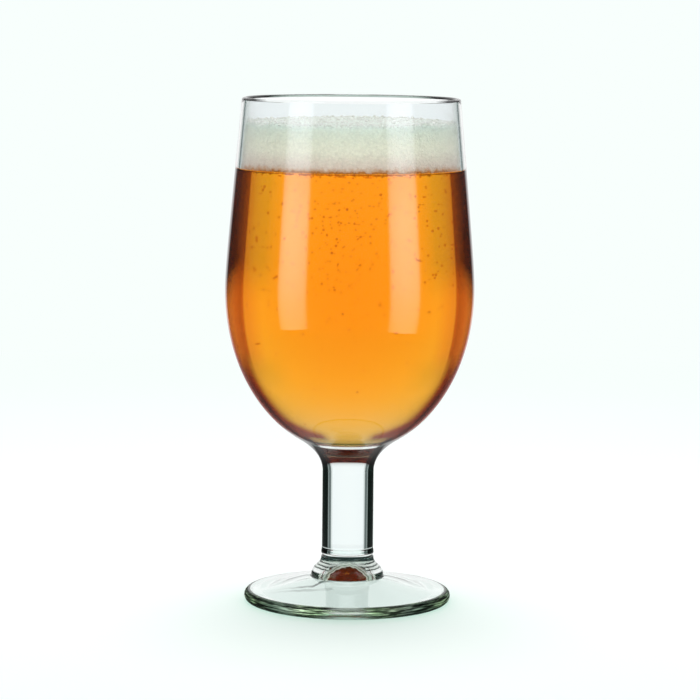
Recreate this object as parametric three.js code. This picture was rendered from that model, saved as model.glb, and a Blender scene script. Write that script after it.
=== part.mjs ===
// A stemmed beer glass with a poured lager in it, standing on its foot.
// Millimetres, +Z up, the origin in the middle of the plane the foot stands on.
// Every piece is turned about Z, and the heights stack up from the foot.

import * as THREE from "three";

// Foot and the hub the stem stands on
const FOOT_DIAMETER = 67.7;
const FOOT_EDGE_THICKNESS = 3.9;
const FOOT_RISE = 4.3; // climb of the top face from the edge to the hub
const FOOT_REST_WIDTH = 3.5; // the flat ring the glass stands on
const DOME_COVER = 4.9; // from the top of the dome pressed up under the hub to the hub's top
const DOME_RADIUS = 9;
const DOME_DROP = 3.1; // from the dome's top down to its edge
const DOME_FLARE = 3; // how far its edge runs on before it turns along the underside
const HUB_HEIGHT = 7;
const HUB_FLARE = 3.2; // how much wider the hub is at its shoulder than at its top, each side
const HUB_SHOULDER_HEIGHT = 3.8; // where the hub turns in, above the foot's top face
const HUB_EDGE_ROUNDING = 0.6;
const HUB_FILLET = 0.4;

// Stem
const STEM_DIAMETER = 16.9;
const STEM_LENGTH = 28.1;
const STEM_END_HEIGHT = 2.9; // the rounded button at its lower end
const STEM_END_SWELL = 0.2; // how far that button stands out of the stem
const STEM_END_ROUNDING = 1.2;

// Bowl, with the boss under it that is welded to the stem
const BOSS_DROP = 6; // from the bottom of the bowl's oval down to the weld
const BOSS_SPREAD = 8; // how far the boss spreads beyond the stem where it runs into the oval
const BOWL_DEPTH = 53.3; // from the belly down to the bottom of the oval
const WALL_HEIGHT = 62.4; // from the belly up to the rim
const BELLY_DIAMETER = 81.2;
const RIM_DIAMETER = 70.9;
const SHOULDER_SOFTNESS = 7.3; // how gently the belly turns into the straight wall
const WALL_THICKNESS = 2; // at the belly
const RIM_THICKNESS = 1.7;
const BASE_THICKNESS = 7.2; // at the bottom of the oval

// Beer and its head
const HEAD_SPACE = 8; // from the head's top to the rim
const HEAD_DEPTH = 14.8;
const HEAD_EDGE_ROUNDING = 1.8;
const HEAD_LUMP = 0.7;
const HEAD_LUMP_WAVES = [
  { count: 3, turn: 0.4, share: 0.45 },
  { count: 7, turn: 2.1, share: 0.35 },
  { count: 11, turn: 4.4, share: 0.2 },
];
const FILL_CLEARANCE = 0.3; // between the liquid and the glass

// Facets
const SEGMENTS = 52;
const OVAL_STEPS = 14;
const WALL_STEPS = 6;
const CURVE_STEPS = 6;
const HEAD_TOP_STEPS = 5;

// Radii
const footRadius = FOOT_DIAMETER / 2;
const stemRadius = STEM_DIAMETER / 2;
const stemEndRadius = stemRadius + STEM_END_SWELL;
const hubRadius = stemEndRadius + HUB_FLARE;
const bossRadius = stemRadius + BOSS_SPREAD;

// Heights, from the foot up
const footTop = FOOT_EDGE_THICKNESS + FOOT_RISE;
const hubTop = footTop + HUB_HEIGHT;
const stemTop = hubTop + STEM_LENGTH;
const bellyHeight = stemTop + BOSS_DROP + BOWL_DEPTH;
const rimHeight = bellyHeight + WALL_HEIGHT;
const rimCentreHeight = rimHeight - RIM_THICKNESS / 2;
const headTop = rimHeight - HEAD_SPACE;
const beerTop = headTop - HEAD_DEPTH;

// The bowl's wall lies between two skins of the same kind: an oval up to the belly and a wall above it.
const outerSkin = {
  belly: BELLY_DIAMETER / 2,
  rim: RIM_DIAMETER / 2,
  depth: BOWL_DEPTH,
};

function innerSkin(clearance) {
  return {
    belly: outerSkin.belly - WALL_THICKNESS - clearance,
    rim: outerSkin.rim - RIM_THICKNESS - clearance,
    depth: outerSkin.depth - BASE_THICKNESS - clearance,
  };
}

function point(radius, height) {
  return new THREE.Vector2(radius, height);
}

// Radius of a skin above the belly: straight to the rim, leaving the belly softly.
function wallRadius(skin, height) {
  const reach = (climb) => Math.hypot(SHOULDER_SOFTNESS, climb) - SHOULDER_SOFTNESS;
  const share = reach(height - bellyHeight) / reach(rimCentreHeight - bellyHeight);
  return skin.belly + (skin.rim - skin.belly) * share;
}

// A skin's wall between two heights above the belly, its steps closer together at the lower one.
function wallPoints(skin, fromHeight, toHeight) {
  const points = [];
  for (let step = 0; step <= WALL_STEPS; step += 1) {
    const height = fromHeight + (toHeight - fromHeight) * (step / WALL_STEPS) ** 2;
    points.push(point(wallRadius(skin, height), height));
  }
  return points;
}

// A skin's oval from a radius near its bottom up to the belly.
function ovalPoints(skin, fromRadius) {
  const start = Math.asin(fromRadius / skin.belly);
  const points = [];
  for (let step = 0; step <= OVAL_STEPS; step += 1) {
    const angle = start + (Math.PI / 2 - start) * (step / OVAL_STEPS);
    points.push(point(skin.belly * Math.sin(angle), bellyHeight - skin.depth * Math.cos(angle)));
  }
  return points;
}

function arc(centreRadius, centreHeight, size, fromAngle, toAngle) {
  const clockwise = toAngle < fromAngle;
  const curve = new THREE.EllipseCurve(
    centreRadius, centreHeight, size, size, fromAngle, toAngle, clockwise,
  );
  return curve.getPoints(CURVE_STEPS);
}

function bend(from, corner, to) {
  return new THREE.QuadraticBezierCurve(from, corner, to).getPoints(CURVE_STEPS);
}

// One outline from several runs of points, without the points where two runs meet.
function joined(...runs) {
  const outline = [];
  for (const next of runs.flat()) {
    const last = outline.at(-1);
    if (!last || last.distanceTo(next) > Number.EPSILON * rimHeight) {
      outline.push(next);
    }
  }
  return outline;
}

function turned(name, outline, look) {
  const geometry = new THREE.LatheGeometry(outline, SEGMENTS);
  geometry.rotateX(Math.PI / 2);
  const mesh = new THREE.Mesh(geometry, new THREE.MeshStandardMaterial(look));
  mesh.name = name;
  return mesh;
}

// A pressed disc with a round edge and a flared hub on top, whose hollow underside climbs to a dome.
function footOutline() {
  const edgeRounding = FOOT_EDGE_THICKNESS / 2;
  const restRadius = footRadius - edgeRounding;
  const hollowRadius = restRadius - FOOT_REST_WIDTH;
  const domeTop = hubTop - DOME_COVER;
  const domeCurve = (DOME_RADIUS ** 2 + DOME_DROP ** 2) / (2 * DOME_DROP);
  const domeTurn = Math.asin(DOME_RADIUS / domeCurve);
  const domeEdge = point(DOME_RADIUS, domeTop - DOME_DROP);
  const underCorner = point(DOME_RADIUS + DOME_FLARE, domeEdge.y - DOME_FLARE * Math.tan(domeTurn));
  const shoulderHeight = footTop + HUB_SHOULDER_HEIGHT;
  const hubSide = new THREE.CubicBezierCurve(
    point(hubRadius, footTop + HUB_FILLET),
    point(hubRadius, shoulderHeight),
    point(stemEndRadius, shoulderHeight),
    point(stemEndRadius, hubTop - HUB_EDGE_ROUNDING),
  );
  return joined(
    arc(0, domeTop - domeCurve, domeCurve, Math.PI / 2, Math.PI / 2 - domeTurn),
    bend(domeEdge, underCorner, point(hollowRadius, 0)),
    arc(restRadius, edgeRounding, edgeRounding, -Math.PI / 2, Math.PI / 2),
    bend(
      point(hubRadius + HUB_FILLET, footTop),
      point(hubRadius, footTop),
      point(hubRadius, footTop + HUB_FILLET),
    ),
    hubSide.getPoints(2 * CURVE_STEPS),
    arc(stemEndRadius - HUB_EDGE_ROUNDING, hubTop - HUB_EDGE_ROUNDING, HUB_EDGE_ROUNDING, 0, Math.PI / 2),
    [point(0, hubTop)],
  );
}

// A solid rod whose lower end swells into a rounded button.
function stemOutline() {
  const neckRadius = stemEndRadius - STEM_END_ROUNDING;
  const buttonTop = hubTop + STEM_END_HEIGHT;
  return joined(
    [point(0, hubTop)],
    arc(neckRadius, hubTop + STEM_END_ROUNDING, STEM_END_ROUNDING, -Math.PI / 2, 0),
    bend(
      point(stemEndRadius, hubTop + STEM_END_ROUNDING),
      point(stemEndRadius, buttonTop),
      point(stemRadius, buttonTop),
    ),
    [point(stemRadius, stemTop), point(0, stemTop)],
  );
}

// A blown shell, open at the rim, whose boss runs from the oval into the stem along the oval's own slope.
function bowlOutline() {
  const oval = ovalPoints(outerSkin, bossRadius);
  const share = bossRadius / outerSkin.belly;
  const ovalSlope = (outerSkin.depth * share) / (outerSkin.belly * Math.sqrt(1 - share ** 2));
  const bossCorner = point(stemRadius, oval[0].y - BOSS_SPREAD * ovalSlope);
  return joined(
    [point(0, stemTop)],
    bend(point(stemRadius, stemTop), bossCorner, oval[0]),
    oval,
    wallPoints(outerSkin, bellyHeight, rimCentreHeight),
    arc(outerSkin.rim - RIM_THICKNESS / 2, rimCentreHeight, RIM_THICKNESS / 2, 0, Math.PI),
    wallPoints(innerSkin(0), bellyHeight, rimCentreHeight).reverse(),
    ovalPoints(innerSkin(0), 0).reverse(),
  );
}

// The liquid, which fills the bowl up to the underside of its head.
function beerOutline() {
  const skin = innerSkin(FILL_CLEARANCE);
  return joined(
    ovalPoints(skin, 0),
    wallPoints(skin, bellyHeight, beerTop),
    [point(0, beerTop)],
  );
}

// The head, before its top is made lumpy.
function headOutline() {
  const skin = innerSkin(FILL_CLEARANCE);
  const edgeHeight = headTop - HEAD_EDGE_ROUNDING;
  const edgeRadius = wallRadius(skin, edgeHeight);
  const flatRadius = edgeRadius - HEAD_EDGE_ROUNDING;
  const top = [];
  for (let step = 0; step <= HEAD_TOP_STEPS; step += 1) {
    top.push(point(flatRadius * (1 - step / HEAD_TOP_STEPS), headTop));
  }
  return joined(
    [point(0, beerTop), point(wallRadius(skin, beerTop), beerTop)],
    arc(flatRadius, edgeHeight, HEAD_EDGE_ROUNDING, 0, Math.PI / 2),
    top,
  );
}

// Raises and sinks the head's top in waves that grow from its middle to its edge.
function makeLumpy(mesh) {
  const places = mesh.geometry.attributes.position;
  const reach = wallRadius(innerSkin(FILL_CLEARANCE), headTop);
  const edgeHeight = headTop - HEAD_EDGE_ROUNDING;
  for (let index = 0; index < places.count; index += 1) {
    const x = places.getX(index);
    const y = places.getY(index);
    const height = places.getZ(index);
    const angle = Math.atan2(y, x);
    let wave = 0;
    for (const { count, turn, share } of HEAD_LUMP_WAVES) {
      wave += share * Math.cos(count * angle + turn);
    }
    const top = Math.max(0, height - edgeHeight) / HEAD_EDGE_ROUNDING;
    places.setZ(index, height + HEAD_LUMP * wave * top * (Math.hypot(x, y) / reach));
  }
  mesh.geometry.computeVertexNormals();
}

const glassLook = { color: 0xe3eee9, roughness: 0.04, metalness: 0, transparent: true, opacity: 0.35 };
const beerLook = { color: 0xf09a1e, roughness: 0.05, metalness: 0, transparent: true, opacity: 0.8 };
const headLook = { color: 0xe2dfce, roughness: 0.9, metalness: 0 };

const head = turned("foam_head", headOutline(), headLook);
makeLumpy(head);

const glass = new THREE.Group();
glass.name = "beer_glass";
glass.add(turned("foot", footOutline(), glassLook));
glass.add(turned("stem", stemOutline(), glassLook));
glass.add(turned("bowl", bowlOutline(), glassLook));
glass.add(turned("beer", beerOutline(), beerLook));
glass.add(head);

export default glass;
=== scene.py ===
"""Looks of the stemmed beer glass: clear glass, beer with bubbles and foam, over the CAD frame. Metres."""

import math
import random

import bmesh
import bpy
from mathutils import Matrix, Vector, noise


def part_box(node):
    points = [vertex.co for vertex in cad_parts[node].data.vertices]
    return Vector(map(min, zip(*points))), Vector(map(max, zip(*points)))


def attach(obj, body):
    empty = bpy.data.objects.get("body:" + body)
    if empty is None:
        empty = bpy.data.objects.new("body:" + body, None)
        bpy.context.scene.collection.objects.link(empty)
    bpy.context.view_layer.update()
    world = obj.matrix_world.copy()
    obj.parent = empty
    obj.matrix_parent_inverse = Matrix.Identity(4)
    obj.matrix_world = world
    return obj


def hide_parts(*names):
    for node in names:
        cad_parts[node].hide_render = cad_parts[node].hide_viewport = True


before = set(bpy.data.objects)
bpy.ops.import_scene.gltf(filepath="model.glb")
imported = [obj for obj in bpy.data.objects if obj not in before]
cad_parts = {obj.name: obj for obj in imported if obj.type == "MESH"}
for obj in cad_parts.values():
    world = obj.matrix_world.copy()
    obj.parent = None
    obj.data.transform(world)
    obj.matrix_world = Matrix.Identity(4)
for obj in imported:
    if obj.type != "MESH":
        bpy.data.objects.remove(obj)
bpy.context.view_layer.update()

MM = 0.001

# Sizes the frame gives
foot_box, stem_box, bowl_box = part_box("foot"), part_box("stem"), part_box("bowl")
beer_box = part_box("beer")
FOOT_RADIUS = foot_box[1][0]
HUB_TOP = foot_box[1][2]
STEM_END_RADIUS = stem_box[1][0]
STEM_TOP = stem_box[1][2]
BELLY_RADIUS = bowl_box[1][0]
RIM_TOP = bowl_box[1][2]
BEER_TOP = beer_box[1][2]

# Sizes inside the outline
FOOT_EDGE = 3.9 * MM
FOOT_TOP = 8.2 * MM
FOOT_REST_WIDTH = 3.5 * MM
DOME_COVER = 4.9 * MM
DOME_RADIUS = 9 * MM
DOME_DROP = 3.1 * MM
DOME_FLARE = 3 * MM
HUB_FLARE = 3.2 * MM
HUB_SHOULDER = 3.8 * MM
HUB_EDGE = 0.6 * MM
HUB_FILLET = 0.4 * MM
STEM_END_HEIGHT = 2.9 * MM
STEM_END_SWELL = 0.2 * MM
STEM_END_ROUNDING = 1.2 * MM
BOSS_SPREAD = 8 * MM
BELLY_HEIGHT = 102.6 * MM
BOWL_DEPTH = 53.3 * MM
SHOULDER_SOFTNESS = 7.3 * MM
RIM_RADIUS = 35.45 * MM
RIM_THICKNESS = 1.7 * MM
WALL_THICKNESS = 2 * MM
BASE_THICKNESS = 7.2 * MM
HEAD_TOP = 157 * MM
HEAD_EDGE = 1.2 * MM

FILM = 0.01 * MM  # keeps faces that touch apart, so that a ray meets them in order
SAME_POINT = 1e-8  # points nearer than this are one
SEGMENTS = 256
FROTH_SEGMENTS = 400
SHARP_EDGE = math.radians(40)

STEM_RADIUS = STEM_END_RADIUS - STEM_END_SWELL
HUB_RADIUS = STEM_END_RADIUS + HUB_FLARE
RIM_CENTRE = RIM_TOP - RIM_THICKNESS / 2

chance = random.Random(11)


# Outlines: runs of (radius, height)

def arc(radius, height, size, start, end, steps=14):
    turn = [math.radians(start + (end - start) * i / steps) for i in range(steps + 1)]
    return [(radius + size * math.cos(a), height + size * math.sin(a)) for a in turn]


def bezier(*corners, steps=16):
    points = []
    for i in range(steps + 1):
        level, t = list(corners), i / steps
        while len(level) > 1:
            level = [
                (a[0] + (b[0] - a[0]) * t, a[1] + (b[1] - a[1]) * t)
                for a, b in zip(level, level[1:])
            ]
        points.append(level[0])
    return points


def line(start, end, steps=8):
    return bezier(start, end, steps=steps)


OUTER_SKIN = (BELLY_RADIUS, RIM_RADIUS, BOWL_DEPTH)


def inner_skin(inset=0.0):
    """Belly radius, rim radius and depth of the bowl's inside, or of what lies an inset within it."""
    return (
        BELLY_RADIUS - WALL_THICKNESS - inset,
        RIM_RADIUS - RIM_THICKNESS - inset,
        BOWL_DEPTH - BASE_THICKNESS - inset,
    )


def wall_radius(skin, height):
    """Radius above the belly: soft there, then straight to the rim."""
    belly, rim, _ = skin

    def reach(climb):
        return math.hypot(SHOULDER_SOFTNESS, climb) - SHOULDER_SOFTNESS

    return belly + (rim - belly) * reach(height - BELLY_HEIGHT) / reach(RIM_CENTRE - BELLY_HEIGHT)


def skin_radius(skin, height):
    """Radius of a skin at any height, on its wall or on its oval."""
    if height >= BELLY_HEIGHT:
        return wall_radius(skin, height)
    share = (BELLY_HEIGHT - height) / skin[2]
    return skin[0] * math.sqrt(max(0.0, 1 - share * share))


def wall(skin, start, end, steps=40):
    heights = [start + (end - start) * i / steps for i in range(steps + 1)]
    return [(wall_radius(skin, z), z) for z in heights]


def oval(skin, from_radius=0.0, steps=64):
    belly, _, depth = skin
    start = math.asin(from_radius / belly)
    turn = [start + (math.pi / 2 - start) * i / steps for i in range(steps + 1)]
    return [(belly * math.sin(a), BELLY_HEIGHT - depth * math.cos(a)) for a in turn]


# Meshes

def lathe(runs, segments=SEGMENTS):
    """Vertices and (slot, face) pairs of a body of revolution from (slot, points) runs that follow on."""
    points, slots = [], []
    for slot, run in runs:
        for p in run:
            if points and math.dist(points[-1], p) < SAME_POINT:
                continue
            points.append(p)
            slots.append(slot)
    verts, rings, faces = [], [], []
    for radius, height in points:
        if radius < SAME_POINT:
            rings.append([len(verts)] * segments)
            verts.append((0, 0, height))
            continue
        rings.append(list(range(len(verts), len(verts) + segments)))
        for i in range(segments):
            a = math.tau * i / segments
            verts.append((radius * math.sin(a), -radius * math.cos(a), height))
    for low, high, slot in zip(rings, rings[1:], slots[1:]):
        for i in range(segments):
            j = (i + 1) % segments
            faces.append((slot, list(dict.fromkeys((low[i], low[j], high[j], high[i])))))
    return verts, faces


def placed(name, data):
    """A new object in the scene."""
    obj = bpy.data.objects.new(name, data)
    bpy.context.collection.objects.link(obj)
    return obj


def piece_from(name, verts, faces):
    """A smooth piece with a material for each slot that its (slot, face) pairs name."""
    names = list(dict.fromkeys(slot for slot, _ in faces))
    mesh = bpy.data.meshes.new(name)
    mesh.from_pydata(verts, [], [face for _, face in faces])
    mesh.polygons.foreach_set("material_index", [names.index(slot) for slot, _ in faces])
    mesh.polygons.foreach_set("use_smooth", [True] * len(faces))
    mesh.set_sharp_from_angle(angle=SHARP_EDGE)
    for slot in names:
        mesh.materials.append(LOOKS[slot])
    return placed(name, mesh)


def turned(name, runs):
    return piece_from(name, *lathe(runs))


# Shader nodes

CLEAR = (1, 1, 1)


def grey(level):
    return level, level, level


def node(tree, kind, inputs=None, **settings):
    """A shader node. An input is a number, a vector, a colour or the socket that feeds it."""
    made = tree.nodes.new("ShaderNode" + kind)
    for key, value in settings.items():
        setattr(made, key, value)
    for key, value in (inputs or {}).items():
        socket = made.inputs[key]
        if isinstance(value, bpy.types.NodeSocket):
            tree.links.new(value, socket)
        else:
            socket.default_value = (*value, 1) if socket.type == "RGBA" else value
    return made


def material(name, shader, *values, socket="Surface", **settings):
    """A material with what a shader function makes in its node tree."""
    mat = bpy.data.materials.new(name)
    mat.use_nodes = True
    tree = mat.node_tree
    tree.nodes.clear()
    node(tree, "OutputMaterial", {socket: shader(tree, *values, **settings)})
    return mat


def sums(tree, operation, *values):
    return node(tree, "Math", dict(enumerate(values)), operation=operation).outputs[0]


def product(tree, *values):
    result = values[0]
    for value in values[1:]:
        result = sums(tree, "MULTIPLY", result, value)
    return result


def ramp(tree, share, stops, curve="LINEAR"):
    """Colours along a share from 0 to 1. A stop is (place, grey) or (place, (red, green, blue))."""
    made = node(tree, "ValToRGB", {"Fac": share})
    made.color_ramp.interpolation = curve
    elements = made.color_ramp.elements
    while len(elements) < len(stops):
        elements.new(0.5)
    for element, (place, colour) in zip(elements, stops):
        element.position = place
        element.color = (*(colour if isinstance(colour, tuple) else grey(colour)), 1)
    return made.outputs["Color"]


def rise(tree, share, start, end, curve="LINEAR"):
    return ramp(tree, share, [(start, 0.0), (end, 1.0)], curve)


def fall(tree, share, start, end, curve="LINEAR"):
    return ramp(tree, share, [(start, 1.0), (end, 0.0)], curve)


def band(tree, share, start, full, wane, end, top=1.0, curve="LINEAR"):
    """0 outside two places along a share, and a top value between two others."""
    return ramp(tree, share, [(start, 0.0), (full, top), (wane, top), (end, 0.0)], curve)


def tinted(tree, share, stops):
    """A ramp for glass, from the share of light that a face passes: the shader takes a colour's root."""
    squares = []
    for place, passed in stops:
        colour = passed if isinstance(passed, tuple) else grey(passed)
        squares.append((place, tuple(c * c for c in colour)))
    return ramp(tree, share, squares)


def blended(tree, share, first, second, how="MIX"):
    """Two colours, the second by its share."""
    inputs = {"Factor": share, 6: first, 7: second}
    return node(tree, "Mix", inputs, data_type="RGBA", blend_type=how).outputs[2]


def multiplied(tree, first, second, share=1.0):
    return blended(tree, share, first, second, "MULTIPLY")


def mixed(tree, share, first, second):
    """Two shaders, the second by its share."""
    return node(tree, "MixShader", {"Fac": share, 1: first, 2: second}).outputs[0]


def see_through(tree, colour=CLEAR):
    return node(tree, "BsdfTransparent", {"Color": colour}).outputs[0]


def place_in(tree):
    """The shaded point and its parts."""
    point = node(tree, "NewGeometry").outputs["Position"]
    return point, node(tree, "SeparateXYZ", {0: point}).outputs


def between(tree, value, low, high):
    """0 to 1 as a value runs from low to high."""
    return node(tree, "MapRange", {"Value": value, "From Min": low, "From Max": high}).outputs[0]


def clouds(tree, place, scale, detail=2.0, roughness=0.5):
    """Noise from 0 to 1, about 0.5 in the mean."""
    inputs = {"Vector": place, "Scale": scale, "Detail": detail, "Roughness": roughness}
    return node(tree, "TexNoise", inputs).outputs["Fac"]


def wobbled(tree, value, wave, size):
    """A value that a noise moves up and down."""
    return sums(tree, "MULTIPLY_ADD", sums(tree, "SUBTRACT", wave, 0.5), size, value)


def facing(tree, normal=None):
    """0 where the face, or a normal given instead, points at the view, and 1 where it is edge-on."""
    inputs = {"Blend": 0.5} if normal is None else {"Blend": 0.5, "Normal": normal}
    return node(tree, "LayerWeight", inputs).outputs["Facing"]


def edge_on(tree):
    """0 where an upright round wall faces the view, 1 where it is seen edge-on."""
    point, _ = place_in(tree)
    flat = node(tree, "VectorMath", {0: point, 1: (1, 1, 0)}, operation="MULTIPLY").outputs[0]
    return facing(tree, node(tree, "VectorMath", {0: flat}, operation="NORMALIZE").outputs[0])


def level_view(tree):
    """1 for a view from about the glass's own height, 0 for a view from well above it."""
    up = node(tree, "CombineXYZ", {2: 1.0}).outputs[0]
    return between(tree, facing(tree, up), 0.72, 0.86)


def leaving(tree):
    """1 where light leaves the glass, and 0 where it enters."""
    return node(tree, "NewGeometry").outputs["Backfacing"]


def from_outside(tree, colour):
    """A colour for light that enters the glass, and none for light that leaves it."""
    return blended(tree, leaving(tree), colour, CLEAR)


def entering(tree, share):
    """A share for faces seen from outside, and 0 for faces seen from within the glass."""
    return product(tree, share, sums(tree, "SUBTRACT", 1.0, leaving(tree)))


# Tints: painted shade laid into the share of light the glass passes, by place and by the angle of view

GREEN = (0.76, 0.9, 0.85)
STEM_FOOT = HUB_TOP + 4 * MM  # the stem's painted pale and dark bands are placed from the hub's top up to here
RING_SAG = 0.9 * MM  # how much less a dark line in the glass sags than the ring that makes it
BOSS_SPAN = (44 * MM, 60 * MM)  # heights that the boss's bands are placed along
BOSS_END = (54.6 * MM, 56.6 * MM)  # where the boss's painted shade gives way to the bowl's
CRESCENT_DROP = (57 * MM, 62 * MM)  # where the crescents under the beer turn in
CRESCENT_END = (72 * MM, 84 * MM)  # where they give way to the sides
SIDE_SPAN = (40 * MM, 145 * MM)  # heights that the warm belly is placed along
STREAKS_ROUND = 4.0
STREAKS_UP = 8.0


# Painted shade: dark lines and black sides on the clear stem, by the angle of view.
def stem_painted_shade(tree, share):
    black = (0.003, 0.008, 0.006)
    return tinted(tree, share, [
        (0.0, (0.86, 0.93, 0.92)), (0.19, (0.84, 0.91, 0.91)), (0.235, (0.66, 0.73, 0.72)),
        (0.26, (0.15, 0.19, 0.185)), (0.32, (0.1, 0.13, 0.125)), (0.345, (0.28, 0.34, 0.33)),
        (0.375, black), (0.8, black), (0.88, (0.25, 0.3, 0.28)), (1.0, (0.8, 0.84, 0.83)),
    ])


def sagged(tree, height, share):
    """Height with its rings straightened."""
    return sums(tree, "MULTIPLY_ADD", share, RING_SAG, height)


def stem_edge(tree):
    """The stem in painted shade and light: dark sides, a dark nick over its button, and a pale band over a
    dark band at the hub.
    """
    _, (_, _, height) = place_in(tree)
    share = edge_on(tree)
    nick = band(tree, between(tree, height, HUB_TOP, STEM_FOOT), 0.68, 0.71, 0.74, 0.77, 0.8)
    nick = product(tree, nick, rise(tree, share, 0.16, 0.26))
    look = blended(tree, nick, stem_painted_shade(tree, share), (0.36, 0.46, 0.43))
    low = between(tree, sagged(tree, height, share), HUB_TOP, STEM_FOOT)
    look = blended(tree, fall(tree, low, 0.3, 0.38), look, (0.74, 0.86, 0.83))
    # painted dark band where the stem meets the hub
    painted_dark_band = fall(tree, low, 0.15, 0.22)
    return from_outside(tree, blended(tree, painted_dark_band, look, (0.0005, 0.002, 0.0015)))


def ragged_height(tree, size):
    """Height as the small bubbles between beer and foam break it up."""
    point, (_, _, height) = place_in(tree)
    return wobbled(tree, height, clouds(tree, point, 620.0, 4.0, 0.7), size)


def painted_bubble_line(tree):
    """A ragged brown line painted on the glass at the beer's top edge: the painted shade of the small bubbles
    that crowd under the foam.
    """
    low, high = BEER_TOP - 1.2 * MM, BEER_TOP + 0.2 * MM
    return ramp(tree, between(tree, ragged_height(tree, 2.4 * MM), low, high), [
        (0.4, 1.0), (0.7, (0.25, 0.2, 0.09)),
    ])


def side_painted_shade(tree, share, height):
    """Painted shade on the sides of the beer: almost black above, and warm round the belly."""
    dark = tinted(tree, share, [
        (0.138, 1.0), (0.204, (0.9, 0.92, 0.9)), (0.289, (0.72, 0.79, 0.74)), (0.403, (0.62, 0.62, 0.6)),
        (0.474, (0.55, 0.43, 0.43)), (0.49, (0.25, 0.12, 0.09)), (0.566, (0.14, 0.065, 0.055)),
        (0.66, (0.06, 0.022, 0.02)), (0.74, (0.055, 0.02, 0.02)), (1.0, (0.055, 0.025, 0.025)),
    ])
    warm = tinted(tree, share, [
        (0.0, 1.0), (0.289, (0.98, 0.97, 0.95)), (0.403, (0.9, 0.74, 0.77)), (0.474, (0.84, 0.65, 0.7)),
        (0.49, (0.6, 0.31, 0.27)), (0.527, (0.5, 0.23, 0.22)), (0.61, (0.6, 0.31, 0.32)),
        (0.66, (0.66, 0.38, 0.41)), (0.74, (0.62, 0.4, 0.42)), (1.0, (0.8, 0.6, 0.6)),
    ])
    outer = sums(tree, "MAXIMUM", sums(tree, "SUBTRACT", share, 0.55), 0.0)
    tapered = sums(tree, "MULTIPLY_ADD", outer, 0.25, between(tree, height, *SIDE_SPAN))
    belly = band(tree, tapered, 0.33, 0.44, 0.57, 0.72, curve="EASE")
    return blended(tree, belly, dark, warm)


def bottom_painted_shade(tree, share, height):
    """Painted red-brown crescents of shade under the beer, on both sides of a clear middle."""
    low, high = CRESCENT_DROP
    drop = node(tree, "MapRange", {
        "Value": height, "From Min": low, "From Max": high, "To Min": 0.06, "To Max": -0.04,
    }).outputs[0]
    crescents = tinted(tree, sums(tree, "ADD", facing(tree), drop), [
        (0.4, 1.0), (0.46, (0.96, 0.96, 0.95)), (0.5, (0.88, 0.84, 0.8)), (0.54, (0.7, 0.6, 0.53)),
        (0.575, (0.5, 0.29, 0.22)), (0.61, (0.36, 0.09, 0.06)), (0.66, (0.3, 0.06, 0.04)),
        (0.72, (0.32, 0.065, 0.045)), (0.77, (0.4, 0.11, 0.09)), (0.83, (0.55, 0.26, 0.24)),
        (1.0, (0.8, 0.55, 0.54)),
    ])
    return blended(tree, rise(tree, share, 0.03, 0.1, "EASE"), CLEAR, crescents)


def boss_painted_shade(tree, share, height):
    """Painted shade on the boss: the stem's dark sides, a brown band, a clear one, and a dark line under the
    beer.
    """
    dark = (0.1, 0.14, 0.12)
    brown = ramp(tree, between(tree, height, *BOSS_SPAN), [
        (0.17, 1.0), (0.21, (0.3, 0.09, 0.03)), (0.34, (0.22, 0.065, 0.025)), (0.5, (0.26, 0.11, 0.06)),
        (0.53, 1.0), (0.61, 1.0), (0.625, dark), (0.65, dark), (0.67, (0.8, 0.74, 0.6)),
        (1.0, (0.85, 0.8, 0.68)),
    ])
    return multiplied(tree, stem_painted_shade(tree, share), brown)


def filled_edge(tree):
    """What the outer skin passes where beer lies behind it, with painted shade: dark sides, crescents, the
    boss's bands and the bubble line.
    """
    share = edge_on(tree)
    _, (_, _, height) = place_in(tree)
    sides, bottom = side_painted_shade(tree, share, height), bottom_painted_shade(tree, share, height)
    look = blended(tree, between(tree, height, *CRESCENT_END), bottom, sides)
    look = blended(tree, between(tree, height, *BOSS_END), boss_painted_shade(tree, share, height), look)
    return from_outside(tree, multiplied(tree, look, painted_bubble_line(tree)))


def clear_edge(tree):
    """What the outer skin passes above the beer: a thin painted dark line just inside the edge."""
    return from_outside(tree, tinted(tree, edge_on(tree), [
        (0.0, (0.925, 0.95, 0.955)), (0.45, (0.91, 0.935, 0.95)), (0.566, (0.87, 0.89, 0.9)),
        (0.65, (0.74, 0.78, 0.77)), (0.7, (0.62, 0.68, 0.67)), (0.725, (0.2, 0.27, 0.26)),
        (0.75, (0.22, 0.28, 0.27)), (0.785, (0.9, 0.93, 0.92)), (1.0, (0.98, 1.0, 1.0)),
    ]))


def rim_edge(tree):
    """The inner half of the lip, which is painted as a dark line on the far side of the glass."""
    return from_outside(tree, tinted(tree, edge_on(tree), [
        (0.2, (0.7, 0.74, 0.72)), (0.35, (0.5, 0.54, 0.52)), (0.5, (0.2, 0.24, 0.22)),
        (1.0, (0.06, 0.1, 0.09)),
    ]))


def rim_ends(tree):
    """The inner half of the lip seen through its outer half, on the near side: painted dark at its two ends.
    """
    return ramp(tree, edge_on(tree), [(0.4, 0.96), (0.52, 0.4), (0.62, 0.03), (1.0, 0.02)])


def streaked(tree):
    """Long streaks round the foot's edge for its painted light and dark lines, from 0 to 1, and the share of
    the edge's height.
    """
    _, (x, y, height) = place_in(tree)
    up = between(tree, height, 0.0, FOOT_EDGE)
    along = STREAKS_ROUND / FOOT_RADIUS
    place = node(tree, "CombineXYZ", {
        0: product(tree, x, along), 1: product(tree, y, along), 2: product(tree, up, STREAKS_UP),
    }).outputs[0]
    return between(tree, clouds(tree, place, 1.0, 3.0, 0.6), 0.41, 0.64), up


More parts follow.
